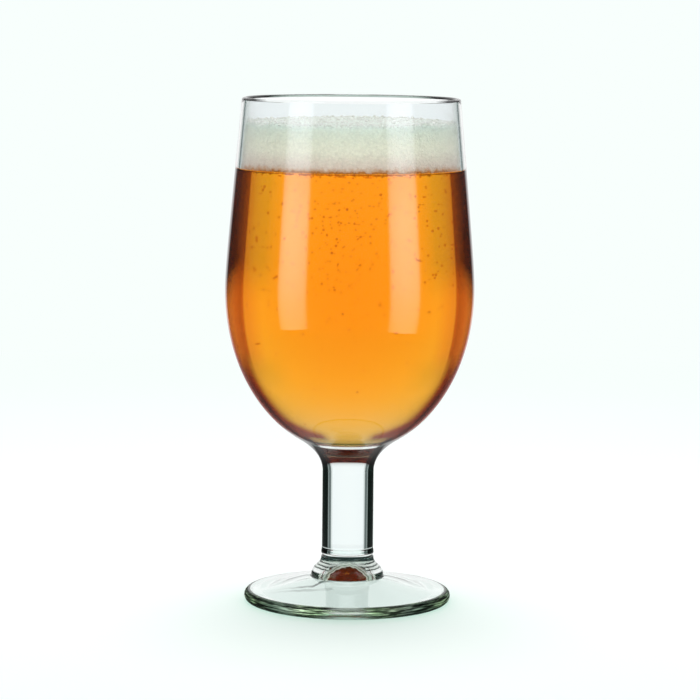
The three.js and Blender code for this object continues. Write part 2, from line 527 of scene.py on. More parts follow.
def foot_edge(tree):
    """The round edge of the foot in painted shade: deep green towards the sides where light runs far through
    the disc, painted bright streaks, a dark line along its top and dark rows in front.
    """
    share = edge_on(tree)
    streak, up = streaked(tree)
    deep = tinted(tree, share, [
        (0.0, (0.86, 0.93, 0.88)), (0.03, (0.84, 0.92, 0.84)), (0.055, (0.6, 0.7, 0.54)),
        (0.1, (0.42, 0.53, 0.34)), (0.2, (0.14, 0.2, 0.1)), (0.35, (0.06, 0.09, 0.04)),
        (0.75, (0.035, 0.055, 0.022)), (1.0, (0.1, 0.14, 0.1)),
    ])
    bright = sums(tree, "MULTIPLY_ADD", product(tree, streak, streak, streak), 2.6, 0.004)
    lined = multiplied(tree, deep, bright, rise(tree, share, 0.025, 0.05))
    crown = ramp(tree, up, [(0.8, 0.0), (0.86, 1.0), (0.95, 1.0), (1.0, 0.5)])
    lined = blended(tree, crown, lined, (0.003, 0.007, 0.004))
    front = ramp(tree, up, [
        (0.6, (0.86, 0.95, 0.88)), (0.68, (0.3, 0.36, 0.3)), (0.8, (0.34, 0.38, 0.33)),
        (1.0, (0.42, 0.46, 0.42)),
    ])
    return from_outside(tree, blended(tree, fall(tree, share, 0.02, 0.04), lined, front))


def foot_sole(tree):
    """The ground ring that the foot stands on, in painted shade: pale green in front, and dark green towards
    the sides.
    """
    streak, _ = streaked(tree)
    return from_outside(tree, tinted(tree, wobbled(tree, edge_on(tree), streak, -0.05), [
        (0.0, (0.6, 1.0, 0.9)), (0.03, (0.66, 0.96, 0.86)), (0.06, (0.5, 0.65, 0.5)),
        (0.09, (0.24, 0.33, 0.22)), (0.14, (0.05, 0.1, 0.05)), (0.22, (0.02, 0.05, 0.025)),
        (1.0, (0.004, 0.014, 0.005)),
    ]))


DARK_LINE_ENDS = (-26 * MM, -4 * MM)  # in X
DARK_LINE_FRONT = -19 * MM  # the Y of course 0
DARK_LINE_RANGE = 10 * MM  # from course 0 back to course 1
DARK_LINES = (  # the course and the depth along a painted dark line, and its width
    (
        [(0.0, 0.8), (0.31, 0.745), (0.4, 0.683), (0.5, 0.645), (0.6, 0.58), (0.67, 0.558), (0.7, 0.583),
         (0.74, 0.678), (0.77, 0.768), (0.8, 0.813), (0.84, 0.838), (1.0, 0.81)],
        [(0.0, 0.0), (0.3, 0.2), (0.42, 0.5), (0.5, 0.85), (0.6, 0.75), (0.7, 1.0), (0.8, 1.0), (0.9, 0.85),
         (0.97, 0.6), (1.0, 0.0)],
        1.3 * MM,
    ),
    (
        [(0.0, 0.58), (0.24, 0.48), (0.37, 0.41), (0.47, 0.306), (0.54, 0.297), (0.61, 0.252), (0.68, 0.2),
         (1.0, 0.18)],
        [(0.0, 0.0), (0.1, 0.15), (0.3, 0.3), (0.42, 0.65), (0.55, 0.55), (0.7, 0.55), (0.8, 0.3),
         (0.95, 0.4), (1.0, 0.0)],
        1.4 * MM,
    ),
)


def foot_top(tree):
    """The top of the foot: almost clear, with two wavy painted dark lines."""
    point, (x, y, _) = place_in(tree)
    bent = wobbled(tree, y, clouds(tree, point, 400.0, 1.0), 2 * MM)
    along = between(tree, x, *DARK_LINE_ENDS)
    look = GREEN
    for course, depth, width in DARK_LINES:
        # the course of each painted dark line
        dark_line_y = sums(tree, "MULTIPLY_ADD", ramp(tree, along, course), DARK_LINE_RANGE, DARK_LINE_FRONT)
        off = sums(tree, "ABSOLUTE", sums(tree, "SUBTRACT", bent, dark_line_y))
        near = fall(tree, between(tree, off, 0.0, width), 0.35, 1.0, "EASE")
        look = blended(tree, product(tree, near, ramp(tree, along, depth)), look, (0.03, 0.045, 0.04))
    return from_outside(tree, look)


ARCH_LINE = 0.25  # what dome_arch gives along the outline
ARCH_SPREAD = 0.3  # square of the outline's half-width, as a share of the hub's
ARCH_TOP = 0.66  # the outline's top, as a share of the hub's height


def dome_arch(tree, top, share):
    """A value that is ARCH_LINE along the outline of the dome's picture in the hub, and less inside it."""
    level = sums(tree, "DIVIDE", sums(tree, "SUBTRACT", 1.0, share), 0.985)
    sideways = sums(tree, "SUBTRACT", 1.0, product(tree, level, level))
    climb = product(tree, top, top, ARCH_LINE / ARCH_TOP**2)
    return sums(tree, "MULTIPLY_ADD", sideways, ARCH_LINE / ARCH_SPREAD, climb)


def hub_painted_shade(tree):
    """Painted shade on the hub: a dark collar under the stem, dark rings on its cone, the dome's arch, and
    dark ends on its bead.
    """
    point, (_, _, height) = place_in(tree)
    share = edge_on(tree)
    top = between(tree, height, FOOT_TOP, HUB_TOP)
    rings = tinted(tree, wobbled(tree, top, clouds(tree, point, 260.0), 0.12), [
        (0.0, (0.8, 0.87, 0.83)), (0.42, (0.9, 0.95, 0.93)), (0.44, (0.06, 0.09, 0.07)),
        (0.48, (0.06, 0.09, 0.07)), (0.5, (0.66, 0.73, 0.68)), (0.545, (0.72, 0.79, 0.74)),
        (0.565, (0.05, 0.07, 0.06)), (0.605, (0.05, 0.07, 0.06)), (0.625, (0.62, 0.69, 0.64)),
        (0.68, (0.66, 0.73, 0.68)), (0.7, (0.06, 0.08, 0.07)), (0.75, (0.06, 0.08, 0.07)),
        (0.77, (0.6, 0.67, 0.62)), (0.82, (0.66, 0.73, 0.68)), (0.84, (0.2, 0.25, 0.22)),
    ])
    middle = ramp(tree, share, [(0.0, 0.6), (0.1, 0.5), (0.25, 0.0)])
    cone = blended(tree, middle, rings, (0.26, 0.33, 0.28))
    bead = tinted(tree, share, [
        (0.0, (0.95, 0.98, 0.97)), (0.19, (0.9, 0.95, 0.93)), (0.21, (0.3, 0.35, 0.31)),
        (0.235, (0.3, 0.34, 0.3)), (0.26, (0.45, 0.5, 0.44)), (0.3, (0.25, 0.29, 0.25)),
        (0.34, (0.72, 0.79, 0.72)), (0.38, (0.5, 0.57, 0.5)), (0.41, (0.03, 0.05, 0.04)),
        (0.85, (0.006, 0.014, 0.012)), (1.0, (0.2, 0.25, 0.22)),
    ])
    look = blended(tree, rise(tree, top, 0.36, 0.42), bead, cone)
    look = blended(tree, band(tree, top, 0.26, 0.31, 0.36, 0.42), look, (0.85, 0.93, 0.9))
    arch = dome_arch(tree, top, share)
    round_dome = ramp(tree, arch, [
        (0.23, 0.0), (0.25, 1.0), (0.29, 1.0), (0.33, 0.5), (0.37, 0.95), (0.4, 0.95), (0.45, 0.0),
    ])
    level = level_view(tree)
    look = blended(tree, product(tree, round_dome, level), look, (0.01, 0.018, 0.014))
    inside = fall(tree, arch, 0.22, 0.25)
    look = blended(tree, product(tree, inside, level), look, (0.38, 0.9, 0.9))
    collar = rise(tree, between(tree, sagged(tree, height, share), FOOT_TOP, HUB_TOP), 0.86, 0.9)
    return from_outside(tree, blended(tree, collar, look, (0.001, 0.003, 0.0025)))


# Veils: paint over the glass where the photo is lighter than a tint can make it.
# Each gives the share of the glass that its paint hides, and the paint's colour: painted light and shade.

RED_LINE_SPAN = (56 * MM, 96 * MM)


def edge_veil(tree):
    """Painted light and shade on the foot's edge: long green and black streaks, and straight rows in front.
    """
    share = edge_on(tree)
    streak, up = streaked(tree)
    tone = ramp(tree, share, [
        (0.0, (0.12, 0.17, 0.12)), (0.03, (0.22, 0.33, 0.18)), (0.06, (0.17, 0.28, 0.14)),
        (0.12, (0.36, 0.47, 0.32)), (0.2, (0.18, 0.24, 0.19)), (0.33, (0.058, 0.088, 0.066)),
        (0.44, (0.06, 0.09, 0.06)), (0.6, (0.12, 0.18, 0.1)), (0.8, (0.14, 0.2, 0.13)),
        (1.0, (0.22, 0.28, 0.22)),
    ])
    level = ramp(tree, up, [
        (0.26, 0.22), (0.36, 0.7), (0.5, 1.0), (0.74, 1.0), (0.82, 0.5), (0.95, 0.5), (1.0, 1.0),
    ])
    lines = sums(tree, "MULTIPLY_ADD", product(tree, streak, streak), 2.7, 0.05)
    paint = multiplied(tree, tone, product(tree, level, lines))
    rows = ramp(tree, up, [
        (0.0, 0.8), (0.1, 0.9), (0.4, 0.9), (0.45, 0.6), (0.6, 0.6), (0.68, 0.9), (0.8, 0.9), (0.84, 0.6),
        (0.97, 0.6), (1.0, 0.1),
    ])
    dark, black = (0.12, 0.17, 0.12), (0.06, 0.09, 0.055)
    row_tones = ramp(tree, up, [
        (0.29, (0.78, 1.0, 0.86)), (0.33, dark), (0.39, dark), (0.44, (0.5, 0.6, 0.5)),
        (0.58, (0.55, 0.66, 0.55)), (0.65, (0.2, 0.26, 0.19)), (0.7, black), (0.78, black),
        (0.83, (0.25, 0.31, 0.24)), (0.9, (0.22, 0.28, 0.22)), (1.0, (0.3, 0.38, 0.31)),
    ])
    in_front = fall(tree, share, 0.015, 0.03)
    sides = ramp(tree, share, [(0.015, 0.0), (0.03, 0.3), (0.05, 0.75), (0.08, 0.9), (1.0, 0.95)])
    sides = product(tree, sides, fall(tree, up, 0.93, 1.0))
    amount = sums(tree, "MAXIMUM", product(tree, in_front, rows), sides)
    return entering(tree, amount), blended(tree, in_front, paint, row_tones)


def bowl_veil(tree):
    """A thin painted red line along the outline of the bowl's lower half."""
    _, (_, _, height) = place_in(tree)
    amount = ramp(tree, facing(tree), [(0.72, 0.0), (0.84, 0.6), (1.0, 0.75)])
    low = band(tree, between(tree, height, *RED_LINE_SPAN), 0.0, 0.08, 0.5, 1.0)
    return entering(tree, product(tree, amount, low)), (0.34, 0.1, 0.085)


def hub_veil(tree):
    """A painted picture of the dome for level views: red-brown under a white line and a dark one."""
    point, (_, _, height) = place_in(tree)
    arch = dome_arch(tree, between(tree, height, FOOT_TOP, HUB_TOP), edge_on(tree))
    arch = wobbled(tree, arch, clouds(tree, point, 700.0), 0.14)
    amount = ramp(tree, arch, [(0.0, 0.35), (0.2, 0.6), (0.25, 0.85), (0.36, 0.8), (0.42, 0.0)])
    paint = ramp(tree, arch, [
        (0.0, (0.13, 0.034, 0.014)), (0.18, (0.14, 0.038, 0.016)), (0.235, (0.08, 0.028, 0.014)),
        (0.255, (0.78, 0.84, 0.74)), (0.28, (0.74, 0.81, 0.72)), (0.3, (0.2, 0.25, 0.2)),
        (0.315, (0.16, 0.21, 0.16)), (0.335, (0.66, 0.74, 0.66)), (1.0, (0.62, 0.7, 0.62)),
    ])
    return entering(tree, product(tree, amount, level_view(tree))), paint


def stem_veil(tree):
    """Painted light: a pale band over the stem's middle where its lower end shows through, for level views.
    """
    _, (_, _, height) = place_in(tree)
    middle = fall(tree, edge_on(tree), 0.16, 0.2)
    low = band(tree, between(tree, height, HUB_TOP, STEM_FOOT), 0.36, 0.44, 0.7, 0.78, 0.85)
    return entering(tree, product(tree, low, middle, level_view(tree))), (0.86, 0.95, 0.94)


# Materials

GLASS_IOR, BEER_IOR = 1.52, 1.345
HEAD_SHADE = (0.97, 0.98, 0.98)
BOWL_SHADE = (0.8, 0.94, 0.89)
STEM_SHADE = (0.9, 0.95, 0.93)
FOOT_SHADE = (0.7, 0.86, 0.79)
INSIDE_TINT = (0.9, 0.94, 0.94)
EDGE_SHINE = (0.2, 0.32, 0.24)
SOLE_ROUGHNESS = 0.3
BOWL_SWELL = 0.004 * MM
STEM_SWELL = 0.012 * MM
FOOT_SWELL = 0.02 * MM
UNDERSIDE_SWELL = 0.01 * MM
BEER_TAKES = (0.0, 15.9, 71.0)  # per metre, in red, green and blue
FROTH_PITS = 0.5 * MM


def glass(tree, shade, colour, ior=GLASS_IOR, swell=0.0, shine=CLEAR, rough=0.0, veil=None):
    """Glass that bends light for the eye, and lets lamps through with a shade for its shadow."""
    inputs = {
        "Base Color": colour(tree) if callable(colour) else colour,
        "Roughness": rough,
        "IOR": ior,
        "Transmission Weight": 1.0,
        "Specular Tint": shine,
    }
    if swell:
        point, _ = place_in(tree)
        skin = {"Height": clouds(tree, point, 75.0), "Strength": 1.0, "Distance": swell}
        inputs["Normal"] = node(tree, "Bump", skin).outputs[0]
    surface = node(tree, "BsdfPrincipled", inputs).outputs[0]
    if veil:
        amount, paint = veil(tree)
        surface = mixed(tree, amount, surface, node(tree, "BsdfDiffuse", {"Color": paint}).outputs[0])
    path = node(tree, "LightPath").outputs
    lit = sums(tree, "MAXIMUM", path["Is Shadow Ray"], path["Is Diffuse Ray"])
    return mixed(tree, lit, surface, see_through(tree, shade))


def thin_glass(tree, colour=None):
    """The lip, too thin to bend the view behind it: it shines, and its inner half is painted dark on the far
    side.
    """
    gloss = node(tree, "BsdfGlossy", {"Color": CLEAR, "Roughness": 0.05}).outputs[0]
    shine = node(tree, "Fresnel", {"IOR": 1.3}).outputs[0]
    look = mixed(tree, shine, see_through(tree, colour(tree) if colour else (0.96, 0.98, 0.98)), gloss)
    if colour:
        look = mixed(tree, leaving(tree), look, see_through(tree, rim_ends(tree)))
    return look


def beer_volume(tree):
    """Amber that deepens with the way through it. The faces of the glass bend the light."""
    density = max(BEER_TAKES)
    colour = tuple(1 - taken / density for taken in BEER_TAKES)
    return node(tree, "VolumeAbsorption", {"Color": colour, "Density": density}).outputs[0]


def bubble_skin(tree):
    """A small bubble in the beer: clear in its middle, with a painted brown shade round it."""
    colour = ramp(tree, facing(tree), [
        (0.0, (0.97, 0.92, 0.8)), (0.15, (0.91, 0.76, 0.5)), (0.5, (0.85, 0.62, 0.3)),
        (1.0, (0.9, 0.74, 0.5)),
    ])
    return see_through(tree, colour)


def froth(tree, lit=1.0):
    """Fine froth of small bubbles: cream, greener at the top, brown where the beer wets it; painted shade
    darkens its pits, and lit below 1 makes a painted shaded copy.
    """
    point, _ = place_in(tree)
    body = ramp(tree, between(tree, ragged_height(tree, 3.4 * MM), BEER_TOP, HEAD_TOP), [
        (0.0, (0.62, 0.2, 0.02)), (0.008, (0.36, 0.09, 0.004)), (0.02, (0.36, 0.1, 0.01)),
        (0.035, (0.46, 0.18, 0.05)), (0.07, (0.57, 0.34, 0.23)), (0.13, (0.65, 0.49, 0.4)),
        (0.18, (0.69, 0.55, 0.46)), (0.45, (0.785, 0.725, 0.585)), (0.6, (0.775, 0.735, 0.59)),
        (0.85, (0.7, 0.72, 0.6)), (1.0, (0.7, 0.76, 0.68)),
    ])
    cells, coarse = (
        node(tree, "TexVoronoi", {"Vector": point, "Scale": scale, "Randomness": 1.0}).outputs["Distance"]
        for scale in (2600.0, 1150.0)
    )
    pits = sums(tree, "MULTIPLY_ADD", cells, 0.5, coarse)
    shade = sums(tree, "MULTIPLY_ADD", pits, -0.2, 1.21)
    light = product(tree, wobbled(tree, shade, clouds(tree, point, 150.0, 6.0, 0.65), 0.14), lit)
    return node(tree, "BsdfPrincipled", {
        "Base Color": multiplied(tree, body, light),
        "Roughness": 0.5,
        "Specular IOR Level": 0.1,
        "Normal": node(tree, "Bump", {"Height": pits, "Strength": 0.7, "Distance": FROTH_PITS}).outputs[0],
    }).outputs[0]


def open_bubble(tree):
    """Bubbles that lie open on the head: painted bright rims round a darker middle, by the angle of view."""
    colour = ramp(tree, facing(tree), [
        (0.0, (0.66, 0.68, 0.6)), (0.35, (0.72, 0.74, 0.67)), (0.6, (0.92, 0.94, 0.9)),
        (1.0, (0.8, 0.82, 0.76)),
    ])
    return node(tree, "BsdfPrincipled", {"Base Color": colour, "Roughness": 0.12}).outputs[0]


def glass_look(name, *values, **settings):
    return material(name + "_glass", glass, *values, **settings)


LOOKS = {
    "bowl": glass_look("bowl", HEAD_SHADE, clear_edge, swell=BOWL_SWELL),
    "inside": glass_look("inside", HEAD_SHADE, INSIDE_TINT, swell=BOWL_SWELL, shine=grey(0.25)),
    "filled": glass_look("filled", BOWL_SHADE, filled_edge, swell=BOWL_SWELL, veil=bowl_veil),
    "wetted": glass_look("wetted", BOWL_SHADE, CLEAR, ior=GLASS_IOR / BEER_IOR),
    "boss": glass_look("boss", BOWL_SHADE, filled_edge, swell=BOWL_SWELL, shine=grey(0.4)),
    "stem": glass_look("stem", STEM_SHADE, stem_edge, swell=STEM_SWELL, shine=grey(0.5), veil=stem_veil),
    "rim": material("rim_glass", thin_glass, rim_edge),
    "foot": glass_look("foot", FOOT_SHADE, GREEN, swell=UNDERSIDE_SWELL),
    "foot_top": glass_look("foot_top", FOOT_SHADE, foot_top, swell=FOOT_SWELL),
    "lip": material("lip_glass", thin_glass),
    "hub": glass_look("hub", FOOT_SHADE, hub_painted_shade, shine=grey(0.5), veil=hub_veil),
    "foot_edge": glass_look(
        "foot_edge", FOOT_SHADE, foot_edge, swell=FOOT_SWELL, shine=EDGE_SHINE, veil=edge_veil
    ),
    "foot_sole": glass_look(
        "foot_sole", FOOT_SHADE, foot_sole, shine=EDGE_SHINE, rough=SOLE_ROUGHNESS, veil=edge_veil
    ),
    "weld": material("weld", see_through),
    "beer": material("beer", beer_volume, socket="Volume"),
    "bubble": material("bubble", bubble_skin),
    "foam": material("foam", froth),
    # painted shade: the foam's underside is a darker copy of the froth
    "foam_under": material("foam_under", froth, 0.35),
    "foam_bubble": material("foam_bubble", open_bubble),
}


# Glass

edge = FOOT_EDGE / 2
rest_radius = FOOT_RADIUS - edge
hollow_radius = rest_radius - FOOT_REST_WIDTH
neck_radius = STEM_END_RADIUS - STEM_END_ROUNDING
shoulder = FOOT_TOP + HUB_SHOULDER
dome_top = HUB_TOP - DOME_COVER
dome_curve = (DOME_RADIUS**2 + DOME_DROP**2) / (2 * DOME_DROP)
dome_turn = math.asin(DOME_RADIUS / dome_curve)
dome_edge = (DOME_RADIUS, dome_top - DOME_DROP)
under_corner = (DOME_RADIUS + DOME_FLARE, dome_edge[1] - DOME_FLARE * math.tan(dome_turn))
hollow_run = (
    arc(0, dome_top - dome_curve, dome_curve, 90, 90 - math.degrees(dome_turn), steps=24)
    + bezier(dome_edge, under_corner, (hollow_radius, 0), steps=32)
    + [(rest_radius, 0)]
)
SOLE_TURN = 4  # degrees round the edge, from level, where the ground sole ends
sole_run = arc(rest_radius, edge, edge, -90, SOLE_TURN, steps=12)
edge_run = arc(rest_radius, edge, edge, SOLE_TURN, 90, steps=12)
top_run = line((rest_radius, FOOT_EDGE), (HUB_RADIUS + HUB_FILLET, FOOT_TOP), steps=24)
hub_run = (
    bezier((HUB_RADIUS + HUB_FILLET, FOOT_TOP), (HUB_RADIUS, FOOT_TOP), (HUB_RADIUS, FOOT_TOP + HUB_FILLET))
    + bezier(
        (HUB_RADIUS, FOOT_TOP + HUB_FILLET), (HUB_RADIUS, shoulder),
        (STEM_END_RADIUS, shoulder), (STEM_END_RADIUS, HUB_TOP - HUB_EDGE), steps=32,
    )
    + arc(STEM_END_RADIUS - HUB_EDGE, HUB_TOP - HUB_EDGE, HUB_EDGE, 0, 90)
    + [(neck_radius, HUB_TOP)]
)
foot = turned("foot_glass", [
    ("foot", hollow_run),
    ("foot_sole", sole_run),
    ("foot_edge", edge_run),
    ("foot_top", top_run),
    ("hub", hub_run),
    ("weld", [(0, HUB_TOP)]),
])

button_top = HUB_TOP + STEM_END_HEIGHT
stem_low, stem_high = HUB_TOP + FILM, STEM_TOP - FILM
stem_run = (
    arc(neck_radius, stem_low + STEM_END_ROUNDING, STEM_END_ROUNDING, -90, 0)
    + bezier(
        (STEM_END_RADIUS, stem_low + STEM_END_ROUNDING), (STEM_END_RADIUS, stem_low + 0.6 * STEM_END_HEIGHT),
        (STEM_RADIUS, stem_low + 0.8 * STEM_END_HEIGHT), (STEM_RADIUS, button_top),
    )
    + line((STEM_RADIUS, button_top), (STEM_RADIUS, stem_high), steps=24)
)
stem = turned("stem_glass", [
    ("weld", [(0, stem_low), (neck_radius, stem_low)]),
    ("stem", stem_run),
    ("weld", [(0, stem_high)]),
])

boss_radius = STEM_RADIUS + BOSS_SPREAD
outer_oval = oval(OUTER_SKIN, boss_radius)
boss_share = boss_radius / BELLY_RADIUS
boss_slope = BOWL_DEPTH * boss_share / (BELLY_RADIUS * math.sqrt(1 - boss_share**2))
boss_corner = (STEM_RADIUS, outer_oval[0][1] - BOSS_SPREAD * boss_slope)
lip = (RIM_RADIUS - RIM_THICKNESS / 2, RIM_CENTRE, RIM_THICKNESS / 2)
bowl = turned("bowl_glass", [
    ("weld", [(0, STEM_TOP), (STEM_RADIUS, STEM_TOP)]),
    ("boss", bezier((STEM_RADIUS, STEM_TOP), boss_corner, outer_oval[0], steps=24)),
    ("filled", outer_oval + wall(OUTER_SKIN, BELLY_HEIGHT, BEER_TOP)),
    ("bowl", wall(OUTER_SKIN, BEER_TOP, RIM_CENTRE, steps=16)),
    ("lip", arc(*lip, 0, 90, steps=10)),
    ("rim", arc(*lip, 90, 180, steps=10)),
    ("inside", wall(inner_skin(), RIM_CENTRE, BEER_TOP, steps=16)),
    ("wetted", wall(inner_skin(), BEER_TOP, BELLY_HEIGHT) + oval(inner_skin())[::-1]),
])


# Beer with its bubbles

BUBBLE_GAP = 0.03 * MM
BEER_LOW = BELLY_HEIGHT - inner_skin()[2]
BEER_DEPTH = BEER_TOP - BEER_LOW


class Bubbles:
    """Round cavities in the beer, none touching another or the glass. Sizes are radii."""

    def __init__(self):
        self.balls = []

    def fits(self, centre, size):
        return all((centre - c).length > size + s + BUBBLE_GAP for c, s in self.balls)

    def put(self, angle, height, size, inset=None):
        """One bubble against the glass, or at a radius of its own."""
        reach = skin_radius(inner_skin(FILM), height) - size - 2 * BUBBLE_GAP
        radius = reach if inset is None else min(inset, reach)
        if height + size > BEER_TOP - BUBBLE_GAP or radius < 0:
            return
        centre = Vector((radius * math.sin(angle), -radius * math.cos(angle), height))
        if self.fits(centre, size):
            self.balls.append((centre, size))

    def crowd_under_foam(self):
        """A full row along the glass at the beer's top, and a loose one below it."""
        for row in range(2):
            angle = 0.0
            while angle < math.tau:
                size = chance.uniform(0.16, 0.36) * MM
                drop = size + BUBBLE_GAP * 1.2 + row * chance.uniform(0.3, 0.8) * MM
                if row == 0 or chance.random() < 0.45:
                    self.put(angle, BEER_TOP - drop, size)
                step = 2 * size + chance.uniform(0.05, 0.15) * MM
                angle += step / wall_radius(inner_skin(), BEER_TOP)

    def cling_all_round(self, count):
        for _ in range(count):
            climb = chance.random() ** 0.55
            angle = chance.uniform(0, math.tau)
            self.put(angle, BEER_LOW + BEER_DEPTH * climb, chance.uniform(0.14, 0.34) * MM)

    def cling_in_front(self, count):
        for _ in range(count):
            height = (105 + 33 * chance.random() ** 0.8) * MM
            self.put(chance.uniform(-1.3, 1.3), height, chance.uniform(0.28, 0.48) * MM)

    def float_in_front(self, count):
        for _ in range(count):
            height = (104 + 28 * chance.random()) * MM
            angle = chance.gauss(-0.15, 0.35)
            self.put(angle, height, chance.uniform(0.16, 0.3) * MM, chance.uniform(8, 24) * MM)

    def float_all_round(self, count):
        for _ in range(count):
            height = BEER_LOW + BEER_DEPTH * (0.35 + 0.65 * chance.random() ** 0.6)
            radius = skin_radius(inner_skin(), height) * math.sqrt(chance.random())
            self.put(chance.uniform(0, math.tau), height, chance.uniform(0.12, 0.3) * MM, radius)

    def stream(self, spread, angle, gap):
        """A string that climbs from the bottom. Its bubbles grow and stray on the way up."""
        height = BEER_LOW + 2 * MM
        while height < BEER_TOP:
            climb = height - BEER_LOW
            radius = (spread + chance.uniform(-1, 1) * (0.4 + 30 * climb)) * MM
            size = (0.1 + 1.6 * climb) * MM
            self.put(angle + chance.uniform(-0.15, 0.15), height, size, abs(radius))
            height += gap * MM * chance.uniform(0.5, 1.5)


def ball_shape():
    """Vertices and faces of a ball of radius 1."""
    made = bmesh.new()
    bmesh.ops.create_icosphere(made, subdivisions=2, radius=1)
    verts = [v.co.copy() for v in made.verts]
    faces = [[v.index for v in f.verts] for f in made.faces]
    made.free()
    return verts, faces


ball_verts, ball_faces = ball_shape()


def add_ball(verts, faces, slot, centre, size, inward=False):
    """Adds a ball to the vertices and (slot, face) pairs of a piece, turned inside out for a cavity."""
    first = len(verts)
    verts += [tuple(centre + v * size) for v in ball_verts]
    faces += [(slot, [first + i for i in (reversed(face) if inward else face)]) for face in ball_faces]


bubbles = Bubbles()
bubbles.crowd_under_foam()
bubbles.cling_all_round(190)
bubbles.cling_in_front(110)
bubbles.float_in_front(55)
bubbles.float_all_round(200)
for spread, angle, gap in ((2.0, 0.6, 2.4), (9.0, 4.0, 3.6), (16.0, 1.9, 4.2)):
    bubbles.stream(spread, angle, gap)

beer_skin = inner_skin(FILM)
beer_run = oval(beer_skin) + wall(beer_skin, BELLY_HEIGHT, BEER_TOP) + [(0, BEER_TOP)]
beer_verts, beer_faces = lathe([("beer", beer_run)])
for centre, size in bubbles.balls:
    add_ball(beer_verts, beer_faces, "bubble", centre, size, inward=True)
beer = piece_from("beer_liquid", beer_verts, beer_faces)
beer.visible_shadow = False


# Foam

LUMP = 0.55 * MM
LUMP_SPREAD = 11 * MM
SMALL_LUMP_SPREAD = 3.2 * MM
FROTH = 0.28 * MM
FROTH_SPREAD = 2.1 * MM
HEAD_BUBBLES = 1500
HEAD_RING = 6 * MM  # how far in from the glass the ring of crowded bubbles reaches


def froth_height(x, y):
    """How far the head's top stands above its mean: slow lumps, smaller ones, and round bubbles."""
    slow = noise.fractal(Vector((x, y, 0)) / LUMP_SPREAD, 0.8, 2.0, 3)
    small = noise.noise(Vector((x, y, 3 * MM)) / SMALL_LUMP_SPREAD)
    away = noise.voronoi(Vector((x, y, 0)) / FROTH_SPREAD)[0][0]
    dome = math.sqrt(max(0.0, 1 - (away / 0.75) ** 2))
    return LUMP * (slow + 0.4 * small) + FROTH * dome


foam_skin = inner_skin(5 * FILM)
foam_low = BEER_TOP + FILM
foam_top_edge = HEAD_TOP - HEAD_EDGE
foam_rim = wall_radius(foam_skin, foam_top_edge)
foam_flat = foam_rim - HEAD_EDGE
foam_under = line((0, foam_low), (wall_radius(foam_skin, foam_low), foam_low), steps=12)
foam_run = (
    wall(foam_skin, foam_low, foam_top_edge, steps=24)
    + arc(foam_flat, foam_top_edge, HEAD_EDGE, 0, 90, steps=8)
    + line((foam_flat, HEAD_TOP), (0, HEAD_TOP), steps=64)
)
foam_verts, foam_faces = lathe([("foam_under", foam_under), ("foam", foam_run)], FROTH_SEGMENTS)
for i, (x, y, z) in enumerate(foam_verts):
    climb = min(1.0, max(0.0, (z - foam_top_edge + HEAD_EDGE) / (2 * HEAD_EDGE)))
    foam_verts[i] = (x, y, z + climb * froth_height(x, y))
for _ in range(HEAD_BUBBLES):
    size = chance.uniform(0.16, 0.34) * MM + (chance.random() ** 6) * 0.5 * MM
    radius = foam_flat * math.sqrt(chance.random())
    if chance.random() < 0.45:
        radius = foam_rim - size - chance.random() ** 2 * HEAD_RING
    angle = chance.uniform(0, math.tau)
    x, y = radius * math.sin(angle), -radius * math.cos(angle)
    over = max(0.0, radius - foam_flat)
    top = foam_top_edge + math.sqrt(max(0.0, HEAD_EDGE**2 - over**2)) + froth_height(x, y)
    add_ball(foam_verts, foam_faces, "foam_bubble", Vector((x, y, top)), size)
foam = piece_from("foam_froth", foam_verts, foam_faces)

for piece, name in ((foot, "foot"), (stem, "stem"), (bowl, "bowl"), (beer, "beer"), (foam, "foam_head")):
    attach(piece, "root")
    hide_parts(name)


# Stage: a white table and background, and two soft boxes that show in the glass

BOUNCES = 48
WHITE = (0.94, 1.0, 0.98)
BRIGHT_THROUGH = 1.07  # how bright the background is when it is seen through the glass
WALL_LIGHT = 4.2
SKY_LIGHT = 0.5
TABLE_COLOUR = (0.763, 0.85, 0.816)
TABLE_GLOW = 0.15
TABLE_REACH = 6.0
TABLE_DROP = 0.02 * MM

scene = bpy.context.scene
scene.view_settings.view_transform = "Standard"
scene.cycles.max_bounces = BOUNCES
scene.cycles.transmission_bounces = BOUNCES
scene.cycles.glossy_bounces = BOUNCES
scene.cycles.transparent_max_bounces = BOUNCES
scene.cycles.caustics_refractive = False


def round_ramp(tree, x, y, stops):
    """A ramp by the degrees round the glass, from 0 straight behind it to 180 straight in front."""
    turn = sums(tree, "ABSOLUTE", sums(tree, "ARCTAN2", x, y))
    behind = sums(tree, "DIVIDE", turn, math.pi)
    return ramp(tree, behind, [(degrees / 180, colour) for degrees, colour in stops], "EASE")


def picked(tree, share, first, second):
    """Two numbers, the second by its share."""
    return node(tree, "Mix", {"Factor": share, "A": first, "B": second}, data_type="FLOAT").outputs[0]


